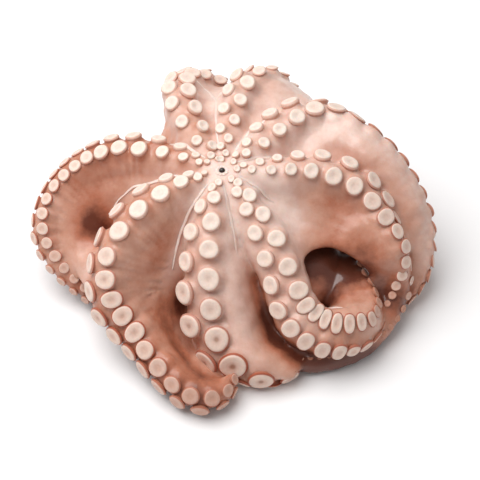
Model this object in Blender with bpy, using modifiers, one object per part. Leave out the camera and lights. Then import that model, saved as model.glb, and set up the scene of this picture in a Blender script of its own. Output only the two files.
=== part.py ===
"""A whole cooked octopus, set down mouth up: the crown stands on the head, and eight arms drape
over it to the table and curl under. Each arm is a tapering loft along its own route, two rows of
suckers stand on its outer side, and webs hang between neighbours. All of it is one body of flesh,
fused and cut flat where it rests. The beak is a separate hard tip seated in the mouth."""

import math

import bmesh
import bpy
import numpy as np
from mathutils import Matrix, Vector

MM = 0.001

# Driving dimensions, in millimetres; the object rests on z = 0 with its box centred on the origin.
MOUTH = (-7.0, 0.4)
CROWN_HEIGHT = 91.0
CROWN_RADII = (15.0, 15.0, 12.0)
HEAD_CENTRE = (25.0, -11.0, 21.0)
HEAD_RADII = (48.0, 48.0, 27.0)

ARM_ROOT_WIDTH = 7.0
ARM_ROOT_DEPTH = 12.0
ARM_STEP = 4.0
ARM_SIDES = 20

SUCKER_AT = (0.0, 12.0, 25.0, 45.0, 80.0, 110.0, 150.0, 200.0, 300.0)
SUCKER_SIZE = (2.6, 4.6, 8.4, 12.0, 13.4, 14.0, 12.5, 9.5, 6.0)
SUCKER_PITCH = 0.66
SUCKER_RISE = 0.24
SMALLEST_SUCKER = 5.5
SUCKER_SIDES = 14

WEB_THICKNESS = 4.6
WEB_INSET = 2.2
WEB_ROWS = 26
WEB_COLUMNS = 14

BEAK_RADIUS = 1.9
BEAK_RISE = 0.6
MOUTH_RADIUS = 2.3
MOUTH_DEPTH = 6.0
SEAT_GAP = 0.3

VOXEL = 1.9
KEPT_SHARE = 0.0730

FLESH = (0.74, 0.52, 0.44, 1.0)
CHITIN = (0.03, 0.02, 0.018, 1.0)

# Each arm: where it leaves the mouth (radius, azimuth, height), its greatest width and depth, the
# size of its suckers beside the others', half the gap between its two rows in sucker widths, its
# thickness at the tip as a share of the greatest, the length over which its suckers fade out
# towards the tip, and its route. A route's stations are: distance along it, heading, pitch and
# roll, in degrees.
ARMS = {
    "back_left": dict(
        start=(8, 112, 90), width=25, depth=34, suckers=0.80, half_gap=0.48, tip=0.2, fade=70,
        route=[(0, 124, 10, 0), (20, 118, 6, 0), (45, 108, -4, -3), (72, 96, -16, -10),
               (92, 72, -30, -20), (115, 22, -30, -25), (138, 0, -48, -30),
               (165, -10, -52, -35), (190, -30, -24, -40), (220, -60, -4, -40)]),
    "back_right": dict(
        start=(8, 86, 90), width=26, depth=34, suckers=0.85, half_gap=0.50, tip=0.2, fade=70,
        route=[(0, 88, 12, 0), (20, 82, 6, 0), (45, 80, -2, -4), (75, 70, -14, -12),
               (97, 52, -34, -32), (120, 18, -54, -48), (150, -20, -54, -55),
               (185, -60, -28, -50), (215, -90, -6, -40)]),
    "right_outer": dict(
        start=(8, 45, 91), width=29, depth=34, suckers=0.92, half_gap=0.42, tip=0.2, fade=70,
        route=[(0, 42, 9, 0), (26, 52, 2, 0), (52, 50, -6, -5), (78, 8, -15, -35),
               (100, -32, -24, -72), (130, -45, -32, -105), (170, -60, -40, -125),
               (195, -75, -45, -105), (225, -140, -32, -130), (250, -160, 2, -140),
               (290, -170, 0, -140), (330, -185, 0, -140)]),
    "right_inner": dict(
        start=(8, 10, 91), width=27, depth=36, suckers=0.88, half_gap=0.44, tip=0.3, fade=70,
        route=[(0, 0, 2, 0), (28, 14, -4, 0), (60, -7, -12, 0), (92, -40, -36, -12),
               (112, -46, -40, -45), (132, -70, -48, -78), (150, -110, -55, -60),
               (170, -130, -18, -40), (190, -145, -6, -5), (240, -180, -4, 30)]),
    "front_right": dict(
        start=(8, -45, 90), width=29, depth=33, suckers=0.88, half_gap=0.46, tip=1.0, fade=70,
        route=[(0, -54, -17, 0), (40, -60, -30, 15), (75, -72, -42, 20), (98, -32, -30, 30),
               (118, 4, -14, 46), (138, 26, -12, 72), (154, 70, -4, 75),
               (170, 102, 2, 76), (188, 112, -2, 70), (240, 118, -2, 75)]),
    "front": dict(
        start=(8, -105, 89), width=32, depth=40, suckers=1.12, half_gap=0.42, tip=0.3, fade=70,
        route=[(0, -118, -18, 8), (25, -106, -34, 18), (55, -93, -44, 26),
               (85, -76, -54, 36), (104, -50, -44, 58), (122, -20, -26, 92),
               (142, 0, -10, 118), (160, 40, -4, 130), (190, 95, 2, 130)]),
    "front_left": dict(
        start=(10, -160, 90), width=28, depth=32, suckers=1.0, half_gap=0.42, tip=0.40, fade=40,
        route=[(0, -173, -4, 5), (30, -154, -9, 10), (62, -133, -29, 24),
               (88, -109, -47, 38), (108, -66, -44, 57), (126, -36, -34, 65),
               (150, -52, -20, 70), (174, -47, -12, 72), (196, -18, -4, 76), (212, 40, 0, 80),
               (230, 90, 0, 76)]),
    "left": dict(
        start=(10, 150, 90), width=25, depth=32, suckers=0.76, half_gap=0.42, tip=0.2, fade=70,
        route=[(0, 146, -4, 0), (35, 152, -8, 4), (65, 178, -14, 8), (98, 212, -27, 22),
               (128, 243, -40, 44), (148, 294, -42, 58), (172, 326, -34, 62),
               (200, 330, -16, 60), (236, 338, -4, 58)]),
}

# Each web: the two arms it joins, how far along each of them it runs, the angle round each arm's
# section at which it is rooted, its greatest sag and where across it that lies, the share of the
# sag left at its free edge, and the share of its length by which that edge is hollowed, and where.
WEBS = [
    dict(arms=("left", "back_left"), reach=(82, 56), root=(75, 75), sag=12, deepest=0.45,
         edge_sag=1.0, hollow=0.20, hollowest=0.5),
    dict(arms=("back_left", "back_right"), reach=(112, 112), root=(55, 55), sag=7, deepest=0.5,
         edge_sag=1.0, hollow=0.10, hollowest=0.5),
    dict(arms=("back_right", "right_outer"), reach=(125, 112), root=(62, 60), sag=3, deepest=0.6,
         edge_sag=1.0, hollow=0.08, hollowest=0.5, swell=(5, 0.5)),
    dict(arms=("right_outer", "right_inner"), reach=(175, 145), root=(75, 95), sag=0, deepest=0.6,
         edge_sag=1.0, hollow=0.04, hollowest=0.5, swell=(8, 0.55)),
    dict(arms=("right_inner", "front_right"), reach=(165, 62), root=(70, 75), sag=12, deepest=0.62,
         edge_sag=1.0, hollow=0.29, hollowest=0.60),
    dict(arms=("front_right", "front"), reach=(119, 150), root=(110, 62), sag=4, deepest=0.3,
         edge_sag=0.3, hollow=0.0, hollowest=0.5, swell=(12, 0.62), crease=(25, 0.17, 0.13, 0.25)),
    dict(arms=("front", "front_left"), reach=(138, 196), root=(95, 75), sag=8, deepest=0.3,
         edge_sag=0.3, hollow=0.0, hollowest=0.5, swell=(5, 0.65), crease=(17, 0.12, 0.09, 0.2)),
    dict(arms=("front_left", "left"), reach=(122, 172), root=(80, 90), sag=22, deepest=0.40,
         edge_sag=0.1, hollow=0.0, hollowest=0.5, pit=(30, 0.58, 0.55, 0.17, 0.13)),
]


def soft_min(a, b, softness):
    """The smaller of a and b, with the corner between them rounded over about softness."""
    return -softness * np.log(np.exp(-a / softness) + np.exp(-b / softness))


def smooth_step(low, high, value):
    """0 below low and 1 above high, with a smooth rise between."""
    t = np.clip((value - low) / (high - low), 0, 1)
    return t * t * (3 - 2 * t)


def arm_path(arm):
    """Stations along an arm's sucker side, in millimetres, with the frame and section at each.

    The heading, pitch and roll run smoothly through the route's values, and the path is the sum
    of short steps along the direction they give."""
    stations = np.array(arm["route"], dtype=float)
    length = stations[-1, 0]
    count = int(round(length / ARM_STEP)) + 1
    along = np.linspace(0.0, length, count)
    window = np.hanning(9)
    window /= window.sum()

    def smoothed(column):
        values = np.interp(along, stations[:, 0], stations[:, column])
        padded = np.pad(values, len(window) // 2, mode="edge")
        return np.radians(np.convolve(padded, window, mode="valid"))

    heading, pitch, roll = smoothed(1), smoothed(2), smoothed(3)
    level = np.stack([np.cos(heading), np.sin(heading), np.zeros(count)], axis=1)
    up = np.array([0.0, 0.0, 1.0])
    forward = level * np.cos(pitch)[:, None] + up * np.sin(pitch)[:, None]
    upright = up * np.cos(pitch)[:, None] - level * np.sin(pitch)[:, None]
    side = np.cross(forward, upright)
    outward = upright * np.cos(roll)[:, None] + side * np.sin(roll)[:, None]
    radius, azimuth, height = arm["start"]
    start = np.array([MOUTH[0] + radius * math.cos(math.radians(azimuth)),
                      MOUTH[1] + radius * math.sin(math.radians(azimuth)), height])
    steps = (forward[1:] + forward[:-1]) / 2 * (along[1] - along[0])
    points = start + np.concatenate([np.zeros((1, 3)), np.cumsum(steps, axis=0)])
    taper = 1.0 - (1.0 - arm["tip"]) * np.clip((along - 100) / (length - 100), 0, 1) ** 1.1
    width = soft_min(ARM_ROOT_WIDTH + 0.8 * along, arm["width"] * taper, 4.0)
    thinning = 1.0 - (1.0 - arm["tip"]) * np.clip((along - 80) / (length - 80), 0, 1) ** 0.9
    depth = np.minimum(arm["depth"], ARM_ROOT_DEPTH + 0.6 * along) * thinning
    return dict(along=along, points=points, forward=forward, outward=outward,
                side=np.cross(forward, outward), width=width, depth=depth)


def at(path, distance, names):
    """The path's named values at a distance along it, or at several."""
    along = path["along"]
    found = []
    for name in names:
        values = path[name]
        if values.ndim == 1:
            found.append(np.interp(distance, along, values))
        else:
            found.append(np.stack([np.interp(distance, along, values[:, k]) for k in range(3)], axis=-1))
    return found


def on_section(path, distance, angle):
    """The point of an arm's skin at an angle round its section, 0 at the middle of the suckers."""
    point, outward, side, width, depth = at(path, distance, ("points", "outward", "side", "width", "depth"))
    half_depth = np.asarray(depth)[..., None] / 2
    half_width = np.asarray(width)[..., None] / 2
    return point + outward * half_depth * (math.cos(angle) - 1) + side * half_width * math.sin(angle)


def add_object(name, vertices, faces):
    mesh = bpy.data.meshes.new(name)
    mesh.from_pydata([Vector(v) * MM for v in vertices], [], faces)
    obj = bpy.data.objects.new(name, mesh)
    bpy.context.scene.collection.objects.link(obj)
    return obj


def make_arm(name, path):
    """A loft through the arm's oval sections, closed at both ends."""
    angles = [2 * math.pi * k / ARM_SIDES for k in range(ARM_SIDES)]
    rings = np.stack([on_section(path, path["along"], angle) for angle in angles], axis=1)
    count = len(path["along"])
    faces = []
    for i in range(count - 1):
        for k in range(ARM_SIDES):
            after = (k + 1) % ARM_SIDES
            faces.append((i * ARM_SIDES + k, i * ARM_SIDES + after,
                          (i + 1) * ARM_SIDES + after, (i + 1) * ARM_SIDES + k))
    faces.append(tuple(reversed(range(ARM_SIDES))))
    faces.append(tuple((count - 1) * ARM_SIDES + k for k in range(ARM_SIDES)))
    return add_object(name, rings.reshape(-1, 3), faces)


def sucker_places(arm, path):
    """Where an arm's suckers stand: base, direction and size, in turn on its two sides."""
    length = path["along"][-1]
    distance, hand = 2.0, 1
    while distance < length - 4:
        size = arm["suckers"] * np.interp(distance, SUCKER_AT, SUCKER_SIZE)
        size *= np.clip((length - distance) / arm["fade"], 0.12, 1) ** 0.7
        point, outward, side, width, depth = at(
            path, distance, ("points", "outward", "side", "width", "depth"))
        angle = hand * math.asin(min(0.8, arm["half_gap"] * size / (width / 2)))
        across, out = math.sin(angle), math.cos(angle)
        base = point + side * width / 2 * across + outward * depth / 2 * (out - 1)
        normal = Vector(side * across / width + outward * out / depth).normalized()
        yield base, normal, size
        distance += SUCKER_PITCH * size
        hand = -hand


def make_suckers(name, arm, path):
    """The larger suckers as short stalks that widen to a flat disc."""
    bm = bmesh.new()
    for base, normal, size in sucker_places(arm, path):
        if size < SMALLEST_SUCKER:
            continue
        rise = SUCKER_RISE * size
        sink = 3.0
        centre = Vector(base) + normal * (rise - sink) / 2
        turn = normal.to_track_quat("Z", "Y").to_matrix().to_4x4()
        bmesh.ops.create_cone(
            bm, cap_ends=True, segments=SUCKER_SIDES, radius1=0.42 * size * MM, radius2=0.5 * size * MM,
            depth=(rise + sink) * MM, matrix=Matrix.Translation(centre * MM) @ turn)
    mesh = bpy.data.meshes.new(name)
    bm.to_mesh(mesh)
    bm.free()
    obj = bpy.data.objects.new(name, mesh)
    bpy.context.scene.collection.objects.link(obj)
    return obj


def hump(across, peak):
    """A smooth hump across 0 to 1 that is 0 at both ends and 1 at the peak."""
    return np.sin(np.pi * across ** (math.log(0.5) / math.log(peak)))


def web_bend(web, across, share):
    """How far a web stands out from its ruled surface: its swell, less its crease and its pit."""
    amount, place = web.get("swell", (0, 0.5))
    bend = amount * hump(across, place) * smooth_step(0.15, 0.6, share)
    depth, middle, before, beyond = web.get("crease", (0, 0.5, 0.1, 0.1))
    spread = np.where(across < middle, before, beyond)
    bend = bend - depth * np.exp(-((across - middle) / spread) ** 2) * smooth_step(0.3, 0.7, share)
    deep, where, how_far, wide, long = web.get("pit", (0, 0.5, 0.5, 0.1, 0.1))
    return bend - deep * np.exp(-((across - where) / wide) ** 2 - ((share - how_far) / long) ** 2)


def make_web(name, web, paths):
    """A sheet ruled between two arms and bent between them, thickened with Solidify."""
    first, second = (paths[arm] for arm in web["arms"])
    across = np.linspace(0, 1, WEB_COLUMNS)
    rows = []
    for t in np.linspace(0, 1, WEB_ROWS):
        share = t * (1 - web["hollow"] * hump(across, web["hollowest"]))
        ends, aways = [], []
        for path, reach, root, hand in zip((first, second), web["reach"], web["root"], (1, -1)):
            angle = hand * math.radians(root)
            distance = 4 + share * (reach - 4)
            outward, side = at(path, distance, ("outward", "side"))
            inset = (outward * math.cos(angle) + side * math.sin(angle)) * WEB_INSET
            ends.append(on_section(path, distance, angle) - inset)
            aways.append(outward)
        row = ends[0] * (1 - across)[:, None] + ends[1] * across[:, None]
        away = aways[0] * (1 - across)[:, None] + aways[1] * across[:, None]
        away = away / np.linalg.norm(away, axis=1)[:, None]
        easing = 1 - (1 - web["edge_sag"]) * smooth_step(0.5, 1.0, t)
        row[:, 2] -= web["sag"] * hump(across, web["deepest"]) * share ** 0.8 * easing
        rows.append(row + away * web_bend(web, across, share)[:, None])
    vertices = np.concatenate(rows)
    faces = []
    for i in range(WEB_ROWS - 1):
        for k in range(WEB_COLUMNS - 1):
            corner = i * WEB_COLUMNS + k
            faces.append((corner, corner + 1, corner + WEB_COLUMNS + 1, corner + WEB_COLUMNS))
    obj = add_object(name, vertices, faces)
    solidify = obj.modifiers.new("thickness", "SOLIDIFY")
    solidify.thickness = WEB_THICKNESS * MM
    solidify.offset = 0.0
    return obj


def make_ball(name, centre, radii):
    bm = bmesh.new()
    place = Matrix.Translation(Vector(centre) * MM) @ Matrix.Diagonal((*[r * MM for r in radii], 1))
    bmesh.ops.create_uvsphere(bm, u_segments=40, v_segments=24, radius=1.0, matrix=place)
    mesh = bpy.data.meshes.new(name)
    bm.to_mesh(mesh)
    bm.free()
    obj = bpy.data.objects.new(name, mesh)
    bpy.context.scene.collection.objects.link(obj)
    return obj


def evaluated_mesh(obj):
    graph = bpy.context.evaluated_depsgraph_get()
    return bpy.data.meshes.new_from_object(obj.evaluated_get(graph))


def fuse(name, pieces):
    """One object from overlapping closed pieces, remeshed to a single skin and thinned out."""
    bm = bmesh.new()
    for piece in pieces:
        mesh = evaluated_mesh(piece)
        bm.from_mesh(mesh)
        bpy.data.meshes.remove(mesh)
        bpy.data.objects.remove(piece)
    rough = bpy.data.meshes.new(name)
    bm.to_mesh(rough)
    bm.free()
    obj = bpy.data.objects.new(name, rough)
    bpy.context.scene.collection.objects.link(obj)
    remesh = obj.modifiers.new("skin", "REMESH")
    remesh.mode = "VOXEL"
    remesh.voxel_size = VOXEL * MM
    smooth = obj.modifiers.new("soften", "SMOOTH")
    smooth.factor = 0.5
    smooth.iterations = 2
    thin = obj.modifiers.new("thin_out", "DECIMATE")
    thin.ratio = KEPT_SHARE
    thin.use_collapse_triangulate = True
    whole = evaluated_mesh(obj)
    obj.modifiers.clear()
    obj.data = whole
    keep_largest_shell(whole)
    return obj


def keep_largest_shell(mesh):
    """Drops every loose shell but the largest, and with them the walls of sealed hollows."""
    bm = bmesh.new()
    bm.from_mesh(mesh)
    unseen = set(bm.verts)
    shells = []
    while unseen:
        front = [unseen.pop()]
        shell = list(front)
        while front:
            vertex = front.pop()
            for edge in vertex.link_edges:
                other = edge.other_vert(vertex)
                if other in unseen:
                    unseen.remove(other)
                    front.append(other)
                    shell.append(other)
        shells.append(shell)
    shells.sort(key=len)
    for shell in shells[:-1]:
        bmesh.ops.delete(bm, geom=shell, context="VERTS")
    bm.to_mesh(mesh)
    bm.free()


def cut(obj, cutter):
    """Takes the cutter away from the object with an exact Boolean."""
    boolean = obj.modifiers.new("cut", "BOOLEAN")
    boolean.operation = "DIFFERENCE"
    boolean.solver = "EXACT"
    boolean.object = cutter


def material(name, colour, roughness):
    made = bpy.data.materials.new(name)
    made.use_nodes = True
    shader = made.node_tree.nodes["Principled BSDF"]
    shader.inputs["Base Color"].default_value = colour
    shader.inputs["Roughness"].default_value = roughness
    shader.inputs["Metallic"].default_value = 0.0
    made.diffuse_color = colour
    return made


def collection(name):
    made = bpy.data.collections.new(name)
    bpy.context.scene.collection.children.link(made)
    return made


def move_to(obj, group):
    for old in obj.users_collection:
        old.objects.unlink(obj)
    group.objects.link(obj)


def make_floor_cutter():
    bm = bmesh.new()
    size = 400.0
    place = Matrix.Translation((0, 0, -size / 2 * MM)) @ Matrix.Scale(size * MM, 4)
    bmesh.ops.create_cube(bm, size=1.0, matrix=place)
    return finish_tool(bm, "floor_cutter")


def make_mouth_cutter():
    bm = bmesh.new()
    top = CROWN_HEIGHT + 10
    bottom = CROWN_HEIGHT - MOUTH_DEPTH
    place = Matrix.Translation(Vector((MOUTH[0], MOUTH[1], (top + bottom) / 2)) * MM)
    bmesh.ops.create_cone(bm, cap_ends=True, segments=24, radius1=MOUTH_RADIUS * MM,
                          radius2=MOUTH_RADIUS * MM, depth=(top - bottom) * MM, matrix=place)
    return finish_tool(bm, "mouth_cutter")


def finish_tool(bm, name):
    mesh = bpy.data.meshes.new(name)
    bm.to_mesh(mesh)
    bm.free()
    tool = bpy.data.objects.new(name, mesh)
    tool.hide_render = True
    tool.display_type = "WIRE"
    bpy.context.scene.collection.objects.link(tool)
    return tool


def make_beak():
    """A blunt hard tip that stands in the mouth: a straight stem with a domed end."""
    bm = bmesh.new()
    foot = CROWN_HEIGHT - MOUTH_DEPTH + SEAT_GAP
    shoulder = CROWN_HEIGHT - BEAK_RADIUS + BEAK_RISE
    bmesh.ops.create_uvsphere(bm, u_segments=16, v_segments=10, radius=BEAK_RADIUS * MM)
    for vertex in bm.verts:
        height = vertex.co.z
        vertex.co.z = shoulder * MM + height if height > -1e-9 else foot * MM
    bmesh.ops.remove_doubles(bm, verts=bm.verts, dist=1e-6)
    bmesh.ops.translate(bm, verts=bm.verts, vec=(MOUTH[0] * MM, MOUTH[1] * MM, 0))
    mesh = bpy.data.meshes.new("beak")
    bm.to_mesh(mesh)
    bm.free()
    mesh.shade_smooth()
    obj = bpy.data.objects.new("beak", mesh)
    bpy.context.scene.collection.objects.link(obj)
    return obj


def main():
    for obj in list(bpy.data.objects):
        bpy.data.objects.remove(obj)
    paths = {name: arm_path(arm) for name, arm in ARMS.items()}
    pieces = [make_ball("crown", (MOUTH[0], MOUTH[1], CROWN_HEIGHT - CROWN_RADII[2]), CROWN_RADII)]
    pieces.append(make_ball("head", HEAD_CENTRE, HEAD_RADII))
    for name, arm in ARMS.items():
        pieces.append(make_arm("arm_" + name, paths[name]))
        pieces.append(make_suckers("suckers_" + name, arm, paths[name]))
    for web in WEBS:
        pieces.append(make_web("web_" + web["arms"][0], web, paths))
    octopus = fuse("octopus", pieces)
    floor_cutter = make_floor_cutter()
    mouth_cutter = make_mouth_cutter()
    cut(octopus, floor_cutter)
    cut(octopus, mouth_cutter)
    octopus.data.materials.append(material("cooked_flesh", FLESH, 0.45))
    beak = make_beak()
    beak.data.materials.append(material("chitin", CHITIN, 0.3))
    group = collection("octopus")
    tools = collection("cutters")
    for obj in (octopus, beak):
        move_to(obj, group)
    for tool in (floor_cutter, mouth_cutter):
        move_to(tool, tools)


main()
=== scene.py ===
import math

import bpy
import numpy as np
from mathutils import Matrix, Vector


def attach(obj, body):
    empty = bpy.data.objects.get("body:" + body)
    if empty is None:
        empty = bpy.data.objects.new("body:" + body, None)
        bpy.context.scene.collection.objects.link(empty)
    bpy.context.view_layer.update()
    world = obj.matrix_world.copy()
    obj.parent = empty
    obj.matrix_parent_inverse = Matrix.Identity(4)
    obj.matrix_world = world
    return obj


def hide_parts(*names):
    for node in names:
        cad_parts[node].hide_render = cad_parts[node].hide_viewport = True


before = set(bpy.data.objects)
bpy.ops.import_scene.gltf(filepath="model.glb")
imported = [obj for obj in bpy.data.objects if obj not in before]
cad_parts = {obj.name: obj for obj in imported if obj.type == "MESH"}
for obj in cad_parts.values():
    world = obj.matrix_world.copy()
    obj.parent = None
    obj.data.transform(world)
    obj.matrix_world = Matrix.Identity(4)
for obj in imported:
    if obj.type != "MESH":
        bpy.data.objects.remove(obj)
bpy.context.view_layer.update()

# A whole cooked octopus, set down mouth up. Eight arms leave the mouth, drape over the head and
# curl under. Every length in the tables below is in millimetres; meshes are made in metres.

bl_info = {
    "name": "Cooked octopus",
    "version": (1, 0, 0),
    "blender": (4, 5, 0),
    "location": "3D View > Sidebar > Octopus",
    "description": "Builds a whole cooked octopus, its suckers, folds and beak, and a stage for it",
    "category": "Add Mesh",
}

MM = 0.001

# ---- sizes and routes, as in the solid model ----------------------------------------------------

# The mouth's place in plan, the crown under it and the head, an arm's width and depth where it
# leaves the mouth, and how far inside the arms' skin the webs are rooted.
MOUTH = np.array([-7.0, 0.4])
CROWN_HEIGHT = 91.0
CROWN_RADII = (15.0, 15.0, 12.0)
HEAD_CENTRE = (25.0, -11.0, 21.0)
HEAD_RADII = (48.0, 48.0, 27.0)
ARM_ROOT_WIDTH = 7.0
ARM_ROOT_DEPTH = 12.0
WEB_INSET = 2.2

# Each arm: where it leaves the mouth (radius, azimuth, height), its greatest width and depth, its
# thickness at the tip as a share of the greatest, and its route. A route's stations are: distance
# along it, heading, pitch and roll, in degrees.
ARMS = {
    "back_left": dict(
        start=(8, 112, 90), width=25, depth=34, tip=0.2,
        route=[(0, 124, 10, 0), (20, 118, 6, 0), (45, 108, -4, -3), (72, 96, -16, -10),
               (92, 72, -30, -20), (115, 22, -30, -25), (138, 0, -48, -30),
               (165, -10, -52, -35), (190, -30, -24, -40), (220, -60, -4, -40)]),
    "back_right": dict(
        start=(8, 86, 90), width=26, depth=34, tip=0.2,
        route=[(0, 88, 12, 0), (20, 82, 6, 0), (45, 80, -2, -4), (75, 70, -14, -12),
               (97, 52, -34, -32), (120, 18, -54, -48), (150, -20, -54, -55),
               (185, -60, -28, -50), (215, -90, -6, -40)]),
    "right_outer": dict(
        start=(8, 45, 91), width=29, depth=34, tip=0.2,
        route=[(0, 42, 9, 0), (26, 52, 2, 0), (52, 50, -6, -5), (78, 8, -15, -35),
               (100, -32, -24, -72), (130, -45, -32, -105), (170, -60, -40, -125),
               (195, -75, -45, -105), (225, -140, -32, -130), (250, -160, 2, -140),
               (290, -170, 0, -140), (330, -185, 0, -140)]),
    "right_inner": dict(
        start=(8, 10, 91), width=27, depth=36, tip=0.3,
        route=[(0, 0, 2, 0), (28, 14, -4, 0), (60, -7, -12, 0), (92, -40, -36, -12),
               (112, -46, -40, -45), (132, -70, -48, -78), (150, -110, -55, -60),
               (170, -130, -18, -40), (190, -145, -6, -5), (240, -180, -4, 30)]),
    "front_right": dict(
        start=(8, -45, 90), width=29, depth=33, tip=1.0,
        route=[(0, -54, -17, 0), (40, -60, -30, 15), (75, -72, -42, 20), (98, -32, -30, 30),
               (118, 4, -14, 46), (138, 26, -12, 72), (154, 70, -4, 75),
               (170, 102, 2, 76), (188, 112, -2, 70), (240, 118, -2, 75)]),
    "front": dict(
        start=(8, -105, 89), width=32, depth=40, tip=0.3,
        route=[(0, -118, -18, 8), (25, -106, -34, 18), (55, -93, -44, 26),
               (85, -76, -54, 36), (104, -50, -44, 58), (122, -20, -26, 92),
               (142, 0, -10, 118), (160, 40, -4, 130), (190, 95, 2, 130)]),
    "front_left": dict(
        start=(10, -160, 90), width=28, depth=32, tip=0.40,
        route=[(0, -173, -4, 5), (30, -154, -9, 10), (62, -133, -29, 24),
               (88, -109, -47, 38), (108, -66, -44, 57), (126, -36, -34, 65),
               (150, -52, -20, 70), (174, -47, -12, 72), (196, -18, -4, 76), (212, 40, 0, 80),
               (230, 90, 0, 76)]),
    "left": dict(
        start=(10, 150, 90), width=25, depth=32, tip=0.2,
        route=[(0, 146, -4, 0), (35, 152, -8, 4), (65, 178, -14, 8), (98, 212, -27, 22),
               (128, 243, -40, 44), (148, 294, -42, 58), (172, 326, -34, 62),
               (200, 330, -16, 60), (236, 338, -4, 58)]),
}

# Each web: the two arms it joins, how far along each of them it runs, the angle round each arm's
# section at which it is rooted, its greatest sag and where across it that lies, the share of the
# sag left at its free edge, and the share of its length by which that edge is hollowed, and where.
# Some webs also have a swell: its height and where across it is. A crease is a groove along the web:
# its depth, where across it is, and how far it spreads to either side. A pit has a depth, a place
# across and along, and a spread across and along.
WEBS = [
    dict(arms=("left", "back_left"), reach=(82, 56), root=(75, 75), sag=12, deepest=0.45,
         edge_sag=1.0, hollow=0.20, hollowest=0.5),
    dict(arms=("back_left", "back_right"), reach=(112, 112), root=(55, 55), sag=7, deepest=0.5,
         edge_sag=1.0, hollow=0.10, hollowest=0.5),
    dict(arms=("back_right", "right_outer"), reach=(125, 112), root=(62, 60), sag=3, deepest=0.6,
         edge_sag=1.0, hollow=0.08, hollowest=0.5, swell=(5, 0.5)),
    dict(arms=("right_outer", "right_inner"), reach=(175, 145), root=(75, 95), sag=0, deepest=0.6,
         edge_sag=1.0, hollow=0.04, hollowest=0.5, swell=(8, 0.55)),
    dict(arms=("right_inner", "front_right"), reach=(165, 62), root=(70, 75), sag=12, deepest=0.62,
         edge_sag=1.0, hollow=0.29, hollowest=0.60),
    dict(arms=("front_right", "front"), reach=(119, 150), root=(110, 62), sag=4, deepest=0.3,
         edge_sag=0.3, hollow=0.0, hollowest=0.5, swell=(12, 0.62), crease=(25, 0.17, 0.13, 0.25)),
    dict(arms=("front", "front_left"), reach=(138, 196), root=(95, 75), sag=8, deepest=0.3,
         edge_sag=0.3, hollow=0.0, hollowest=0.5, swell=(5, 0.65), crease=(17, 0.12, 0.09, 0.2)),
    dict(arms=("front_left", "left"), reach=(122, 172), root=(80, 90), sag=22, deepest=0.40,
         edge_sag=0.1, hollow=0.0, hollowest=0.5, pit=(30, 0.58, 0.55, 0.17, 0.13)),
]

# Each arm's suckers, which stand on its two sides in turn. A station is: distance along the arm, a
# sucker's width, the distance on to the next one across, and the angle of both rows from the middle.
SUCKERS = {
    "back_left": [(0, 3.8, 4, 14), (12, 6.6, 8, 20), (25, 7.6, 9, 24), (45, 9.4, 9, 28),
                  (67, 11, 8.5, 30), (110, 10, 7.5, 35), (220, 4, 3, 40)],
    "back_right": [(0, 3.8, 4, 12), (11, 5.4, 6, 16), (22, 6.6, 8, 18), (44, 8.4, 9, 20),
                   (74, 10, 9.5, 26), (95, 8, 8, 35), (215, 4, 3, 40)],
    "right_outer": [(0, 4, 4, 14), (9, 5.4, 6, 20), (26, 8, 7, 26), (43, 10.4, 8, 30),
                    (61, 11.8, 8.5, 32), (82, 12.6, 8, 34), (120, 12, 6, 40), (200, 10, 5, 42),
                    (280, 6, 3.5, 42), (330, 3.5, 2.5, 42)],
    "right_inner": [(0, 4, 4, 14), (12, 5.4, 5.5, 22), (27, 6.8, 6, 28), (44, 9.6, 7.2, 30),
                    (59, 11.4, 8, 32), (80, 11.4, 8, 34), (100, 11.8, 6, 36), (127, 10.5, 5, 38),
                    (150, 6.5, 4.2, 40), (168, 4, 3.2, 44), (240, 3, 2.6, 44)],
    "front_right": [(0, 4, 4, 12), (16, 8.8, 6.5, 18), (30, 9.5, 8, 22), (46, 10.7, 8.5, 24),
                    (63, 11.5, 8, 27), (78, 11.8, 6.5, 31), (92, 12.8, 4.7, 36), (130, 12, 4.4, 42),
                    (165, 7, 4.4, 44), (240, 4, 3, 44)],
    "front": [(0, 4.2, 4, 14), (10, 7.7, 7, 20), (25, 11, 8, 26), (41, 11.9, 8.8, 30), (59, 13.4, 9, 32),
              (76, 13.8, 10, 32), (100, 15.6, 11, 32), (122, 17.4, 10, 34), (140, 15, 9, 38),
              (190, 8, 5, 40)],
    "front_left": [(0, 3.8, 4, 14), (15, 8.9, 6.8, 20), (28, 10.8, 8, 26), (44, 11.4, 9, 30),
                   (62, 12.4, 9, 33), (80, 12.2, 7.6, 34), (109, 13.8, 7, 36), (137, 13, 6.2, 38),
                   (165, 11.5, 7, 38), (200, 10, 6.6, 38), (226, 7, 4, 38)],
    "left": [(0, 3.8, 4, 14), (12, 6, 6, 20), (22, 7.9, 7.6, 24), (37, 9.7, 8.2, 26), (54, 9.9, 7, 28),
             (79, 9.6, 5, 30), (96, 8.2, 4.6, 32), (121, 8.8, 5, 34), (150, 8, 5.2, 38),
             (182, 6.4, 4.6, 40), (236, 3.5, 3, 40)],
}

# How far the cups turn outwards with the arm's curved top: 1 is square to it.
SPLAY = 0.72

# ---- looks and small forms ----------------------------------------------------------------------

# Turned profiles as radius and height in sucker widths, from the foot to the middle of the face: the
# skin's mound under a sucker, a sucker near the mouth, and one with a full cup far from it.
MOUND = [(1.45, -0.40), (1.22, -0.14), (1.02, 0.02), (0.92, 0.13), (0.84, 0.19), (0.60, 0.17)]
KNOB = [(0.96, -0.25), (0.97, 0.05), (1.00, 0.14), (1.01, 0.20), (0.98, 0.26), (0.92, 0.305),
        (0.83, 0.335), (0.70, 0.345), (0.48, 0.33), (0.26, 0.305), (0.11, 0.29)]
CUP = [(0.80, -0.20), (0.84, 0.11), (0.99, 0.19), (1.07, 0.235), (1.05, 0.27), (0.94, 0.295),
       (0.91, 0.345), (0.80, 0.37), (0.55, 0.36), (0.28, 0.345), (0.10, 0.33)]
SUCKER_SIDES = 12

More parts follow.
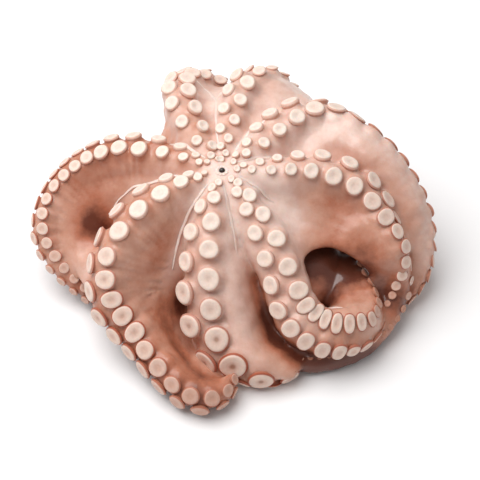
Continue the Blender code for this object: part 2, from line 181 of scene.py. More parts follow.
# No part of a sucker is lower than this above the floor.
SUCKER_CLEARANCE = 0.3

# How each arm looks. brown: how brown its skin is, from 0 to 1, at its root, at 60 mm and at 130 mm.
# creased: how deep the creases beside its suckers are. lean: how far its cups lean towards the mouth
# and to the arm's own side, as slopes. tall: the height of its near suckers. flat: how much of it the
# far ones lose. edge: how clearly the edge of its far cups is drawn. tips: where its suckers begin to
# turn as brown as the skin, where they are, and how much. first: the side of its first sucker.
LOOKS = {
    "back_left": dict(brown=(0.20, 0.24, 0.35), creased=0.3, lean=(0.35, 0.0), tall=1.3, flat=0.2,
                      edge=0.5, tips=(150, 250, 0.4), first=1),
    "back_right": dict(brown=(0.18, 0.18, 0.24), creased=0.2, lean=(0.35, -0.1), tall=1.3, flat=0.2,
                       edge=0.4, tips=(150, 250, 0.4), first=-1),
    "right_outer": dict(brown=(0.08, 0.10, 0.16), creased=0.3, lean=(0.12, 0.0), tall=1.25, flat=0.5,
                        edge=0.6, tips=(150, 250, 0.4), first=1),
    "right_inner": dict(brown=(0.08, 0.12, 0.38), creased=0.2, lean=(0.0, 0.26), tall=1.1, flat=0.4,
                        edge=0.9, tips=(145, 170, 0.9), first=1),
    "front_right": dict(brown=(0.08, 0.14, 0.28), creased=0.2, lean=(0.0, 0.25), tall=1.0, flat=0.2,
                        edge=0.9, tips=(135, 165, 0.8), first=1),
    "front": dict(brown=(0.14, 0.14, 0.28), creased=0.2, lean=(0.0, 0.0), tall=1.0, flat=0.2,
                  edge=1.0, tips=(150, 250, 0.4), first=-1),
    "front_left": dict(brown=(0.18, 0.40, 0.50), creased=0.6, lean=(0.0, 0.0), tall=1.0, flat=0.2,
                       edge=1.0, tips=(130, 200, 0.6), first=1),
    "left": dict(brown=(0.36, 0.56, 0.52), creased=0.9, lean=(0.0, 0.0), tall=1.1, flat=0.2,
                 edge=0.9, tips=(120, 200, 0.5), first=1),
}

# Where the skin is browner or paler: the middle of each patch, its radius and by how much. Some patches
# are the skin's own cooked tone. The browner ones in the crevices between arms, the pit, the hole and
# the tube inside it, and on walls turned away from the light, are painted shade.
STAINS_AND_PAINTED_SHADE = [
    ((64, -12, 72), 14, 0.2), ((34, -16, 70), 12, -0.2), ((30, -2, 78), 10, 0.25),
    ((44, -4, 76), 12, 0.2), ((-87, -4, 45), 15, 0.75), ((-102, -3, 50), 14, -0.25),
    ((-86, -28, 40), 12, -0.2), ((-62, 24, 70), 20, 0.12), ((-98, 24, 55), 20, 0.12),
    ((-48, -20, 72), 14, 0.25), ((-56, -38, 54), 16, 0.2), ((-36, -52, 28), 12, 0.7),
    ((-52, -96, 20), 22, 0.3), ((-20, -112, 16), 18, 0.3), ((-38, -34, 60), 10, 0.15),
    ((-24, -76, 12), 18, 0.2), ((14, -49, 38), 9, 0.5), ((20, -57, 28), 9, 0.6),
    ((27, -68, 22), 10, 0.6), ((36, -78, 16), 10, 0.6), ((56, -8, 60), 22, 0.45),
    ((78, -26, 50), 20, 0.3), ((68, -28, 44), 11, 0.3), ((74, -38, 26), 22, 0.25),
    ((46, -32, 40), 14, 0.25), ((93, -28, 20), 16, 0.3), ((58, -78, 6), 24, 0.6),
    ((60, -36, 26), 17, 0.35), ((76, -44, 22), 14, 0.3), ((98, -46, 22), 13, 0.5),
    ((-24, 28, 86), 12, 0.2), ((-38, 38, 76), 12, 0.3), ((-18, 42, 86), 10, 0.15),
    ((22, 26, 84), 14, 0.1), ((8, 42, 88), 10, 0.1), ((22, -10, 78), 17, -0.3),
    ((96, 32, 60), 22, -0.08), ((51, -25, 44), 11, 0.9), ((58, 32, 70), 26, -0.12),
    ((40, -34, 38), 11, 0.4), ((58, -68, 26), 16, 0.15),
]

# Where the skin is drawn smooth and stays wet: the middle of each patch and its radius.
WET = [((60, -42, 26), 16), ((-72, -48, 30), 12), ((-64, -68, 14), 12), ((-97, 32, 50), 14),
       ((68, -76, 22), 8)]

# Pale ridges where the webs are drawn tight between the arms, as places in plan.
FOLDS = [
    [(-14, -6), (-20, -12), (-27, -19), (-32, -26), (-35, -33), (-37, -41)],
    [(-15, 3), (-24, 3), (-36, 6), (-50, 9), (-62, 10), (-72, 7), (-78, 2)],
    [(-13, 7), (-20, 13), (-28, 21), (-38, 31), (-48, 39)],
    [(-8, 10), (-10, 28), (-11, 50), (-11, 68), (-17, 80), (-26, 90)],
    [(-11, 68), (-7, 76), (1, 84)],
    [(-2, 9), (1, 17), (8, 29), (15, 37), (24, 44)],
    [(-1, 5), (8, 9), (17, 13), (27, 16), (36, 20)],
    [(0, -2), (8, -5), (16, -8), (24, -11)],
    [(-7, -7), (-4, -18), (0, -32), (2, -40)],
]

# A ridge's section, how deep its middle lies below the skin, and the least height of skin that may
# carry one.
FOLD_HALF_WIDTH = 1.3
FOLD_HALF_HEIGHT = 0.6
FOLD_SINK = 0.3
FOLD_LOWEST = 30

# The wet edge on the front right arm's far stretch: from where to where along it, the angle round
# its section and how far that wavers, and the edge's half width.
WET_EDGE_REACH = (92, 128)
WET_EDGE_ANGLE = -78
WET_EDGE_WAVER = 5
WET_EDGE_SIZE = 0.9

# The lip round the beak: its ring's radius, its section, and how far its middle lies below the
# highest skin within a reach of the mouth's middle.
LIP_RADIUS = 3.1
LIP_HALF_WIDTH = 1.3
LIP_HALF_HEIGHT = 1.1
LIP_SINK = 1.0
LIP_REACH = 5

# The camera: what it looks at, its elevation in degrees, its distance, and its focal length.
CAMERA_AIM = (3.7, -9.3, 36.9)
CAMERA_LIFT = 50
CAMERA_DISTANCE = 900
FOCAL_LENGTH = 108.8

# The floor's half side, and the soft round light: where it hangs, what it points at, and its width.
FLOOR_REACH = 3000
LIGHT_PLACE = (-360, 60, 1050)
LIGHT_AIM = (0, 0, 30)
LIGHT_WIDTH = 1200


# ---- shapes as whole arrays ---------------------------------------------------------------------

def soft_min(a, b, softness):
    """The smaller of a and b, with the corner between them rounded over about softness."""
    return -softness * np.log(np.exp(-a / softness) + np.exp(-b / softness))


def smooth_step(low, high, value):
    """0 below low and 1 above high, with a smooth rise between."""
    t = np.clip((value - low) / (high - low), 0, 1)
    return t * t * (3 - 2 * t)


def unit(vectors):
    """Each vector at length 1."""
    return vectors / np.maximum(np.linalg.norm(vectors, axis=-1, keepdims=True), 1e-9)


def ripple(points, wavelength, seed, waves=14):
    """A smooth random field from about -1 to 1: the sum of sine waves in random directions."""
    rng = np.random.default_rng(seed)
    direction = unit(rng.normal(size=(waves, 3)))
    length = wavelength * rng.uniform(0.7, 1.5, waves)
    phase = rng.uniform(0, 2 * math.pi, waves)
    angle = points @ (direction / length[:, None] * 2 * math.pi).T + phase
    return np.sin(angle).sum(axis=1) / math.sqrt(waves)


def evened(values, reach, **ends):
    """A row of values, each replaced by a weighted mean of its neighbours within the reach. The
    words for the ends say how np.pad carries the row on past them."""
    window = np.hanning(reach)
    return np.convolve(np.pad(values, reach // 2, **ends), window / window.sum(), mode="valid")


def between(where, stations, values):
    """Every column of values given at stations, as it is at other places between them."""
    return np.stack([np.interp(where, stations, column) for column in values.T], axis=-1)


def full_turn(count):
    """Angles spaced evenly round a full turn."""
    return np.linspace(0, 2 * math.pi, count, endpoint=False)


def arm_path(arm, step=2.0):
    """Stations along an arm's sucker side, with the directions and the section at each.

    Heading, pitch and roll run smoothly through the route's values, and the path is the sum of
    short steps along the direction that they give. The width rises from the root's to the arm's own
    and tapers beyond 100 mm. The depth does the same, and thins beyond 80 mm."""
    route = np.array(arm["route"], dtype=float)
    length = route[-1, 0]
    coarse = np.linspace(0.0, length, int(round(length / 4.0)) + 1)
    angles = between(coarse, route[:, 0], route[:, 1:]).T
    heading, pitch, roll = (np.radians(evened(values, 9, mode="edge"))[:, None] for values in angles)
    up = np.array([0.0, 0.0, 1.0])
    level = np.cos(heading) * [1, 0, 0] + np.sin(heading) * [0, 1, 0]
    forward = level * np.cos(pitch) + up * np.sin(pitch)
    upright = up * np.cos(pitch) - level * np.sin(pitch)
    outward = upright * np.cos(roll) + np.cross(forward, upright) * np.sin(roll)
    radius, azimuth, height = arm["start"]
    azimuth = math.radians(azimuth)
    root = [MOUTH[0] + radius * math.cos(azimuth), MOUTH[1] + radius * math.sin(azimuth), height]
    steps = (forward[1:] + forward[:-1]) / 2 * (coarse[1] - coarse[0])
    points = root + np.concatenate([np.zeros((1, 3)), np.cumsum(steps, axis=0)])
    fine = np.linspace(0.0, length, int(round(length / step)) + 1)
    points, forward, outward = (between(fine, coarse, values) for values in (points, forward, outward))
    forward, outward = unit(forward), unit(outward)
    taper = 1.0 - (1.0 - arm["tip"]) * np.clip((fine - 100) / (length - 100), 0, 1) ** 1.1
    width = soft_min(ARM_ROOT_WIDTH + 0.8 * fine, arm["width"] * taper, 4.0)
    thinning = 1.0 - (1.0 - arm["tip"]) * np.clip((fine - 80) / (length - 80), 0, 1) ** 0.9
    depth = np.minimum(arm["depth"], ARM_ROOT_DEPTH + 0.6 * fine) * thinning
    return dict(along=fine, points=points, forward=forward, outward=outward,
                side=np.cross(forward, outward), width=width, depth=depth)


def at(path, distance, names):
    """The path's named values at distances along it."""
    return [np.interp(distance, path["along"], path[name]) if path[name].ndim == 1
            else between(distance, path["along"], path[name]) for name in names]


def on_section(path, distance, angle):
    """The point of an arm's skin at an angle round its oval section, 0 amid the suckers."""
    point, outward, side, width, depth = at(
        path, distance, ("points", "outward", "side", "width", "depth"))
    half_depth = np.asarray(depth)[..., None] / 2
    half_width = np.asarray(width)[..., None] / 2
    cosine, sine = np.cos(angle)[..., None], np.sin(angle)[..., None]
    return point + outward * half_depth * (cosine - 1) + side * half_width * sine


def quads_between(index):
    """The four corners of every face between neighbouring closed rings of vertex numbers."""
    after = np.roll(index, -1, axis=1)
    return np.stack([index[:-1], after[:-1], after[1:], index[1:]], axis=-1).reshape(-1, 4)


def tube(rings):
    """Vertices and faces of a closed tube through rings of points, with a flat cap at each end."""
    index = np.arange(rings.shape[0] * rings.shape[1]).reshape(rings.shape[:2])
    caps = [index[0, ::-1].tolist(), index[-1].tolist()]
    return rings.reshape(-1, 3), quads_between(index).tolist() + caps


def arm_skin(path, sides=28):
    """An arm: its oval section carried along its path, rounded off over the last half width."""
    length = path["along"][-1]
    end = path["width"][-1] / 2
    close = np.sqrt(np.clip(1 - ((path["along"] - (length - end)) / end).clip(0) ** 2, 0.02, 1))
    shrunk = dict(path, width=path["width"] * close)
    along, angle = np.broadcast_arrays(path["along"][:, None], full_turn(sides))
    rings = on_section(shrunk, along, angle)
    middle = (path["points"] - path["outward"] * path["depth"][:, None] / 2)[:, None]
    return tube(middle + (rings - middle) * close[:, None, None])


def hump(across, peak):
    """A smooth hump across 0 to 1 that is 0 at both ends and 1 at the peak."""
    return np.sin(np.pi * across ** (math.log(0.5) / math.log(peak)))


def web_middle(web, paths, rows=60, columns=30):
    """The middle surface of a web: straight lines ruled from one arm to the other, which sag, and
    then swell or are creased or pitted along the two arms' outward directions."""
    first, second = (paths[arm] for arm in web["arms"])
    across = np.linspace(0, 1, columns)[None, :]
    t = np.linspace(0, 1, rows)[:, None]
    share = t * (1 - web["hollow"] * hump(across, web["hollowest"]))
    ends, aways = [], []
    for path, reach, root, hand in zip((first, second), web["reach"], web["root"], (1, -1)):
        distance = 4 + share * (reach - 4)
        angle = hand * math.radians(root)
        outward, side = at(path, distance, ("outward", "side"))
        inset = (outward * math.cos(angle) + side * math.sin(angle)) * WEB_INSET
        ends.append(on_section(path, distance, np.full(share.shape, angle)) - inset)
        aways.append(outward)
    sheet = ends[0] * (1 - across)[..., None] + ends[1] * across[..., None]
    away = unit(aways[0] * (1 - across)[..., None] + aways[1] * across[..., None])
    easing = 1 - (1 - web["edge_sag"]) * smooth_step(0.5, 1.0, t)
    sheet[..., 2] -= web["sag"] * hump(across, web["deepest"]) * share ** 0.8 * easing
    amount, place = web.get("swell", (0, 0.5))
    shift = amount * hump(across, place) * smooth_step(0.15, 0.6, share)
    depth, middle, before, beyond = web.get("crease", (0, 0.5, 0.1, 0.1))
    groove = np.exp(-((across - middle) / np.where(across < middle, before, beyond)) ** 2)
    shift = shift - depth * groove * smooth_step(0.3, 0.7, share)
    deep, where, how_far, wide, long = web.get("pit", (0, 0.5, 0.5, 0.1, 0.1))
    shift = shift - deep * np.exp(-((across - where) / wide) ** 2 - ((share - how_far) / long) ** 2)
    return sheet + away * shift[..., None]


def web_skin(sheet, thickness):
    """A closed sheet: the middle surface shifted both ways along its normal and joined at the rim."""
    along = np.gradient(sheet, axis=0)
    across = np.gradient(sheet, axis=1)
    normal = unit(np.cross(across, along))
    shift = normal * thickness / 2
    return tube(np.concatenate([sheet + shift, (sheet - shift)[:, ::-1]], axis=1))


def ball(centre, radii, rings=40, sides=64):
    """An ellipsoid from rings of latitude."""
    polar = np.linspace(0.02, math.pi - 0.02, rings)[:, None]
    turn = full_turn(sides)
    points = np.stack([np.sin(polar) * np.cos(turn), np.sin(polar) * np.sin(turn),
                       np.cos(polar) * np.ones(sides)], axis=-1)
    return tube(np.array(centre) + points * np.array(radii))


def turned_copies(places, profile, sides, wobble=0.0):
    """A turned shape at every place: a profile of radius and height, in widths, carried round.

    The profile is one for all places, or one for each. A place is a base point, an axis, a direction
    along the arm, a width, a height factor, a squeeze along the arm, and two phases. The rim's radius
    swells and dips by the wobble, twice and three times in a turn. Squeezed shapes turn blunt, like
    rows pressed together. Both poles are closed with fans. Also gives each vertex its ring's number."""
    count = len(places["base"])
    profile = np.broadcast_to(profile, (count,) + np.shape(profile)[-2:])
    rings = profile.shape[1]
    turn = full_turn(sides)
    phase, squeeze = places["phase"], places["squeeze"][:, None]
    swell = 1 + wobble * (np.sin(2 * turn + phase[:, :1]) + 0.7 * np.sin(3 * turn + phase[:, 1:2]))
    blunt = 0.45 + 0.55 * squeeze ** 2
    lengthways = np.sign(np.cos(turn)) * np.abs(np.cos(turn)) ** blunt * squeeze
    radius = profile[..., :1] * (swell * places["width"][:, None] / 2)[:, None]
    height = profile[..., 1:] * (places["width"] * places["tall"])[:, None, None]
    axis, ahead, base = (places[name][:, None] for name in ("axis", "ahead", "base"))
    spine = base + axis * height
    shell = spine[:, :, None] + ahead[:, None] * (radius * lengthways[:, None])[..., None]
    shell = shell + np.cross(axis, ahead)[:, None] * (radius * np.sin(turn))[..., None]
    vertices = np.concatenate([shell.reshape(count, -1, 3), spine[:, [0, -1]]], axis=1)
    index = np.arange(rings * sides).reshape(rings, sides)
    after = np.roll(index, -1, axis=1)
    poles = np.full((2, sides), [[rings * sides], [rings * sides + 1]])
    low = np.stack([after[0], index[0], poles[0]], axis=-1)
    high = np.stack([index[-1], after[-1], poles[1]], axis=-1)
    offset = (np.arange(count) * (rings * sides + 2))[:, None, None]
    faces = []
    for corners in (quads_between(index), low, high):
        faces += (corners + offset).reshape(-1, corners.shape[1]).tolist()
    ring = np.concatenate([np.repeat(np.arange(rings), sides), [0, rings - 1]])
    return vertices.reshape(-1, 3), faces, np.tile(ring, count)


def sucker_places(name, path, seed):
    """Where an arm's suckers stand, in turn on its two sides, each a little off the pattern.

    A sucker is squeezed along the arm where its own row leaves it less room than its width."""
    stations = np.array(SUCKERS[name], dtype=float)
    looks = LOOKS[name]
    rng = np.random.default_rng(seed)
    distances = [1.0]
    while distances[-1] < path["along"][-1] - 6:
        distances.append(distances[-1] + float(np.interp(distances[-1], stations[:, 0], stations[:, 2])))
    distance = np.array(distances)
    count = len(distance)
    width, _, row = between(distance, stations[:, 0], stations[:, 1:]).T
    hand = np.where(np.arange(count) % 2, -1.0, 1.0) * looks["first"]
    angle = hand * np.radians(0.8 * row + rng.normal(0, 1.5, count))
    base = on_section(path, distance, angle)
    forward, outward, side, arm_width, arm_depth = at(
        path, distance, ("forward", "outward", "side", "width", "depth"))
    lean = (np.arctan2(np.sin(angle) / arm_width, np.cos(angle) / arm_depth) * SPLAY)[:, None]
    towards_mouth, aside = looks["lean"]
    axis = side * (np.sin(lean) + aside) + outward * np.cos(lean) - forward * towards_mouth
    axis = unit(axis + rng.normal(0, 0.05, axis.shape))
    ahead = unit(forward - axis * (forward * axis).sum(axis=1, keepdims=True))
    tall = 1 + (looks["tall"] - 1) * smooth_step(90, 50, distance)
    tall = tall - looks["flat"] * smooth_step(60, 110, distance)
    width = width * rng.uniform(1.03, 1.13, count)
    room = np.linalg.norm(base[2:] - base[:-2], axis=1)
    room = np.convolve(np.pad(room, 2, mode="edge"), [0.5, 0, 0.5], mode="valid")
    squeeze = np.clip(0.96 * room / width, 0.55, 1.0)
    return dict(base=base, axis=axis, ahead=ahead, width=width, squeeze=squeeze,
                tall=tall, phase=rng.uniform(0, 2 * math.pi, (count, 2)), along=distance)


def all_suckers(paths):
    """Every arm's sucker places, by the arm's name."""
    return {name: sucker_places(name, path, seed) for seed, (name, path) in enumerate(paths.items())}


def along_line(places, step):
    """Points a step apart on a smooth line through places, and each one's share of the length."""
    places = np.array(places, dtype=float)
    length = np.concatenate([[0], np.cumsum(np.linalg.norm(np.diff(places, axis=0), axis=1))])
    fine = np.linspace(0, length[-1], int(length[-1] / step) + 2)
    line = between(fine, length, places)
    line = np.stack([evened(values, 9, mode="reflect", reflect_type="odd") for values in line.T], axis=1)
    return line, fine / length[-1]


def dropped(line, points, reach=2.0, nearest=0.8, depth=3.0):
    """The line's places in plan, set down on the skin. The height at each is the mean over the skin
    within the reach, less what lies deeper than the top of the nearest. The nearest counts most."""
    height = np.full(len(line), np.nan)
    for k, place in enumerate(line):
        away = np.linalg.norm(points[:, :2] - place, axis=1)
        near = away < reach
        if near.any():
            near &= points[:, 2] > points[near & (away < away.min() + nearest), 2].max() - depth
            height[k] = np.average(points[near, 2], weights=np.exp(-(away[near] / nearest) ** 2))
    known = ~np.isnan(height)
    height = np.interp(np.arange(len(line)), np.arange(len(line))[known], height[known])
    return np.column_stack([line, evened(height, 7, mode="edge")])


def ridge(path, share, half_width, height, sides=12):
    """A closed ridge along a path: an oval section that swells from nothing at both ends, and is a
    sixth wider or narrower here and there."""
    forward = unit(np.gradient(path, axis=0))
    across = unit(np.cross(forward, [0.0, 0.0, 1.0]))
    upright = np.cross(across, forward)
    size = np.clip(np.sin(math.pi * share), 0.02, 1) ** 0.5 * (1 + 0.16 * ripple(path, 9, 5))
    turn = full_turn(sides)[None, :, None]
    ring = across[:, None] * half_width * np.cos(turn) + upright[:, None] * height * np.sin(turn)
    return tube(path[:, None] + ring * size[:, None, None])


# ---- meshes and their values --------------------------------------------------------------------

def add_piece(name, vertices, faces, smooth=True):
    """A mesh object at the origin, from vertices in millimetres."""
    mesh = bpy.data.meshes.new(name)
    mesh.from_pydata((np.asarray(vertices) * MM).tolist(), [], faces)
    if smooth:
        mesh.shade_smooth()
    piece = bpy.data.objects.new(name, mesh)
    bpy.context.scene.collection.objects.link(piece)
    return piece


def joined(parts):
    """Several lists of vertices and faces as one."""
    vertices, faces, start = [], [], 0
    for points, polygons in parts:
        vertices.append(points)
        faces += [[corner + start for corner in polygon] for polygon in polygons]
        start += len(points)
    return np.concatenate(vertices), faces


def read(mesh):
    """A mesh's vertices in millimetres, its normals and its edges, as arrays."""
    count = len(mesh.vertices)
    points, normals = np.empty(count * 3), np.empty(count * 3)
    mesh.vertices.foreach_get("co", points)
    mesh.vertices.foreach_get("normal", normals)
    edges = np.empty(len(mesh.edges) * 2, dtype=np.int64)
    mesh.edges.foreach_get("vertices", edges)
    return points.reshape(-1, 3) / MM, normals.reshape(-1, 3), edges.reshape(-1, 2)


def set_value(mesh, name, values):
    """A value for every vertex, under a name that materials read."""
    attribute = mesh.attributes.new(name, "FLOAT", "POINT")
    attribute.data.foreach_set("value", np.asarray(values, dtype=np.float32))


def neighbours_mean(values, edges):
    """For every vertex, the mean of its neighbours' values."""
    count = len(values)
    a, b = edges.T
    degree = np.maximum(np.bincount(a, minlength=count) + np.bincount(b, minlength=count), 1)
    return (np.bincount(a, values[b], count) + np.bincount(b, values[a], count)) / degree


def relax(points, edges, amount, rounds):
    """Moves every vertex part of the way to the mean of its neighbours, round after round."""
    for _ in range(rounds):
        mean = np.stack([neighbours_mean(points[:, k], edges) for k in range(3)], axis=1)
        points = points + (mean - points) * amount[:, None]
    return points


def spread(values, edges, rounds):
    """Evens a value out over the skin: every vertex takes its neighbours' mean, round after round."""
    for _ in range(rounds):
        values = neighbours_mean(values, edges)
    return values


def largest_shell(count, edges):
    """A mask of the vertices in the largest connected shell. Every vertex takes the lowest number
    among its neighbours' again and again, until no number changes."""
    label = np.arange(count)
    while True:
        low = np.minimum(label[edges[:, 0]], label[edges[:, 1]])
        fresh = label.copy()
        np.minimum.at(fresh, edges[:, 0], low)
        np.minimum.at(fresh, edges[:, 1], low)
        fresh = fresh[fresh]
        if (fresh == label).all():
            break
        label = fresh
    return label == np.bincount(label).argmax()


def nearest_arm(points, paths, at_once=20000):
    """For every point: the number of its nearest arm, the distance along it, and the point's place
    aside from and out from the middle of the arm's section, in half widths and half depths. The
    gauge is its distance from that middle in the same measure, so that the arm's own skin lies at
    1. The web value is 0 on that skin and 1 away from it."""
    count = len(points)
    near = dict(gauge=np.full(count, np.inf), arm=np.zeros(count, dtype=int),
                along=np.zeros(count), aside=np.zeros(count), out=np.zeros(count))
    for number, path in enumerate(paths.values()):
        path = {name: values[::2] for name, values in path.items()}
        half_depth, half_width = path["depth"] / 2, path["width"] / 2
        middle = path["points"] - path["outward"] * half_depth[:, None]
        for start in range(0, count, at_once):
            part = slice(start, start + at_once)
            away = points[part][:, None] - middle[None]
            ahead, aside, out = (np.einsum("nmk,mk->nm", away, path[name])
                                 for name in ("forward", "side", "outward"))
            aside, out = aside / half_width, out / half_depth
            gauge = np.sqrt(aside * aside + out * out + (ahead / half_width) ** 2)
            best = (np.arange(len(gauge)), gauge.argmin(axis=1))
            found = dict(gauge=gauge[best], arm=np.full(len(gauge), number),
                         along=path["along"][best[1]] + ahead[best], aside=aside[best], out=out[best])
            better = found["gauge"] < near["gauge"][part]
            for name, values in found.items():
                near[name][part][better] = values[better]
    return dict(near, web=smooth_step(1.12, 1.5, near["gauge"]))


def depth_below_neighbours(points, cell=2.0, reach=7):
    """How far each point lies below the mean height of the skin round it, in millimetres.

    The highest point in every cell of a plan grid makes a height map, and the mean is taken over
    the filled cells within the reach."""
    low = points[:, :2].min(axis=0) - (reach + 2) * cell
    column = ((points[:, :2] - low) / cell).astype(int)
    size = column.max(axis=0) + reach + 3
    top = np.zeros(size)
    np.maximum.at(top, (column[:, 0], column[:, 1]), points[:, 2])
    filled = (top > 0).astype(float)
    window = np.hanning(2 * reach + 3)[1:-1]
    window /= window.sum()

    def blurred(values):
        for axis in (0, 1):
            values = np.apply_along_axis(np.convolve, axis, values, window, mode="same")
        return values

    mean = blurred(top) / np.maximum(blurred(filled), 1e-3)
    return mean[column[:, 0], column[:, 1]] - points[:, 2]


def fused(parts, step):
    """One skin round all the parts, made of cells of a size: the points, edges and quads of its
    largest shell."""
    rough = add_piece("rough_flesh", *joined(parts))
    remesh = rough.modifiers.new("skin", "REMESH")
    remesh.mode = "VOXEL"
    remesh.voxel_size = step
    graph = bpy.context.evaluated_depsgraph_get()
    whole = bpy.data.meshes.new_from_object(rough.evaluated_get(graph))
    bpy.data.objects.remove(rough)
    points, _, edges = read(whole)
    quads = np.empty(len(whole.loops), dtype=np.int64)
    whole.loops.foreach_get("vertex_index", quads)
    quads = quads.reshape(-1, 4)
    bpy.data.meshes.remove(whole)
    keep = largest_shell(len(points), edges)
    renumber = np.cumsum(keep) - 1
    edges, quads = (renumber[corners[keep[corners].all(axis=1)]] for corners in (edges, quads))
    return points[keep], edges, quads


def joints_evened(points, edges, near):
    """The skin's points, evened a little everywhere, and more on webs, where parts meet below the
    arms' tops, and round the mouth. None is below the floor."""
    meeting = smooth_step(0.98, 1.2, near["gauge"]) * smooth_step(0.3, -0.1, near["out"])
    from_mouth = np.linalg.norm(points[:, :2] - MOUTH, axis=1)
    points = relax(points, edges, np.full(len(points), 0.5), 3)
    points = relax(points, edges, 0.5 * np.maximum(near["web"], meeting), 25)
    points = relax(points, edges, 0.5 * smooth_step(30, 14, from_mouth), 12)
    points[:, 2] = np.maximum(points[:, 2], 0.0)
    return points


def relief(points, near):
    """The height of the small forms on the skin, and the creases among them on their own.

    Lumps are smooth random fields. Creases are waves along an arm, bent by slower waves, beside its
    rows of suckers. Ruffles are waves along the web of the front left arm."""
    arm, along, aside, gauge = (near[name] for name in ("arm", "along", "aside", "gauge"))
    lumps = 0.5 * ripple(points, 26, 1) + 0.22 * ripple(points, 9, 2)
    creased = np.array([LOOKS[name]["creased"] for name in ARMS])[arm]
    creased = creased * (0.6 + 0.5 * ripple(points, 40, 7))
    near_rows = smooth_step(0.45, 0.85, np.abs(aside)) * smooth_step(1.35, 1.02, gauge)
    creases = np.sin(along * 0.9 + 1.6 * np.sin(along * 0.23 + arm) + 1.3 * aside) * near_rows * creased
    ruffled = smooth_step(1.15, 1.6, gauge) * smooth_step(3.2, 2.4, gauge) * smooth_step(50, 75, along)
    ruffled = ruffled * (arm == list(ARMS).index("front_left"))
    ruffles = np.sin(along * 0.5 + 2.0 * ripple(points, 50, 9)) * ruffled
    lumps = lumps + 0.35 * creases + 0.5 * ruffles
    return lumps * smooth_step(0.0, 3.0, points[:, 2]), creases


def patch(points, centre, size):
    """1 at the centre of a patch, falling smoothly to nothing well outside its size."""
    return np.exp(-(np.linalg.norm(points - np.array(centre), axis=1) / size) ** 2)


def brown_tone_and_painted_shade(points, edges, near, suckers):
    """How brown the skin is: its arm's own level and tone, with painted shade on top. It is browner in
    hollows and on undersides as painted shade, and in the stains, some of which are painted shade too,
    and less along the pale ridges. That is evened out, and painted shade is added round the suckers'
    bases."""
    level_at = np.array([LOOKS[name]["brown"] for name in ARMS])[near["arm"]].T
    along = near["along"]
    level = np.where(along < 60, level_at[0] + (level_at[1] - level_at[0]) * along / 60,
                     level_at[1] + (level_at[2] - level_at[1]) * np.clip((along - 60) / 70, 0, 1))
    # The hollow and underside terms are painted shade: darker where the skin lies below its neighbours
    # and under the arms.
    hollow = spread(depth_below_neighbours(points), edges, 4)
    painted_underside_shade = smooth_step(-0.2, -0.9, near["out"]) * (1 - near["web"])
    brown = level + 0.4 * smooth_step(3, 24, hollow) + 0.25 * painted_underside_shade + 0.02 - 0.08 * near["web"]
    # These patches add the skin's own tone, and painted shade in the crevices and the hole.
    for centre, size, amount in STAINS_AND_PAINTED_SHADE:
        brown = brown + amount * patch(points, centre, size)
    for fold in FOLDS:
        line, _ = along_line(fold, 2.0)
        away = np.full(len(points), np.inf)
        for x, y in line:
            np.minimum(away, np.hypot(points[:, 0] - x, points[:, 1] - y), out=away)
        brown = brown - 0.25 * np.exp(-(away / 3.0) ** 2)
    brown = spread(np.clip(brown, 0, 1.3), edges, 16)
    # Painted shade round the base of every sucker, strongest near the mouth.
    for places in suckers.values():
        painted_shade_round_suckers = 0.24 - 0.20 * smooth_step(40, 95, places["along"])
        for base, width, amount in zip(places["base"], places["width"], painted_shade_round_suckers):
            beside = np.flatnonzero(np.abs(points - base).max(axis=1) < 9)
            away = np.linalg.norm(points[beside] - base, axis=1)
            brown[beside] += amount * np.exp(-(away / (0.62 * width)) ** 4)
    return brown


def lip(height, turns=144, sides=16):
    """A ring round the beak with an oval section, which puckers eleven times unevenly in a turn."""
    turn, around = full_turn(turns), full_turn(sides)[:, None]
    pucker = 1 + 0.09 * np.cos(11 * turn + 0.8 * np.sin(3 * turn))
    out = LIP_RADIUS + LIP_HALF_WIDTH * pucker * np.cos(around)
    rise = height + LIP_HALF_HEIGHT * pucker * np.sin(around)
    rings = np.stack([MOUTH[0] + out * np.cos(turn), MOUTH[1] + out * np.sin(turn), rise], axis=-1)
    index = np.arange(sides * turns).reshape(sides, turns)
    return rings.reshape(-1, 3), quads_between(np.concatenate([index, index[:1]])).tolist()


# ---- materials ----------------------------------------------------------------------------------

def linear(colour):
    """An sRGB hex colour as linear red, green, blue and alpha."""
    values = [int(colour[k:k + 2], 16) / 255 for k in (1, 3, 5)]
    return (*[v / 12.92 if v <= 0.04045 else ((v + 0.055) / 1.055) ** 2.4 for v in values], 1.0)


def node(tree, kind, settings=None, output=0, **inputs):
    """Adds a shader node, sets its settings and inputs, and returns one of its outputs if it has any.

    An input's value is a number, a colour, or another node's output. Spaces in an input's name are
    written as underscores, and a name that ends in a number picks that input by its place."""
    made = tree.nodes.new("ShaderNode" + kind)
    for name, value in (settings or {}).items():
        setattr(made, name, value)
    for name, value in inputs.items():
        key = int(name[5:]) if name.startswith("input") else name.replace("_", " ")
        socket = made.inputs[key]
        if isinstance(value, bpy.types.NodeSocket):
            tree.links.new(value, socket)
        else:
            socket.default_value = value
    return made.outputs[output] if made.outputs else None


def new_material(name):
    """An empty node material, its tree, and the object's own coordinates in it."""
    material = bpy.data.materials.new(name)
    material.use_nodes = True
    material.node_tree.nodes.clear()
    return material, material.node_tree, node(material.node_tree, "TexCoord", output="Object")


def finished(material, **inputs):
    """The material, with a surface of these inputs."""
    surface = node(material.node_tree, "BsdfPrincipled", **inputs)
    node(material.node_tree, "OutputMaterial", Surface=surface)
    return material


def ramp(tree, value, stops):
    """A colour ramp through stops of position and colour."""
    colour = node(tree, "ValToRGB", Fac=value)
    elements = colour.node.color_ramp.elements
    while len(elements) < len(stops):
        elements.new(0.5)
    for element, (position, shade) in zip(elements, stops):
        element.position = position
        element.color = linear(shade)
    return colour


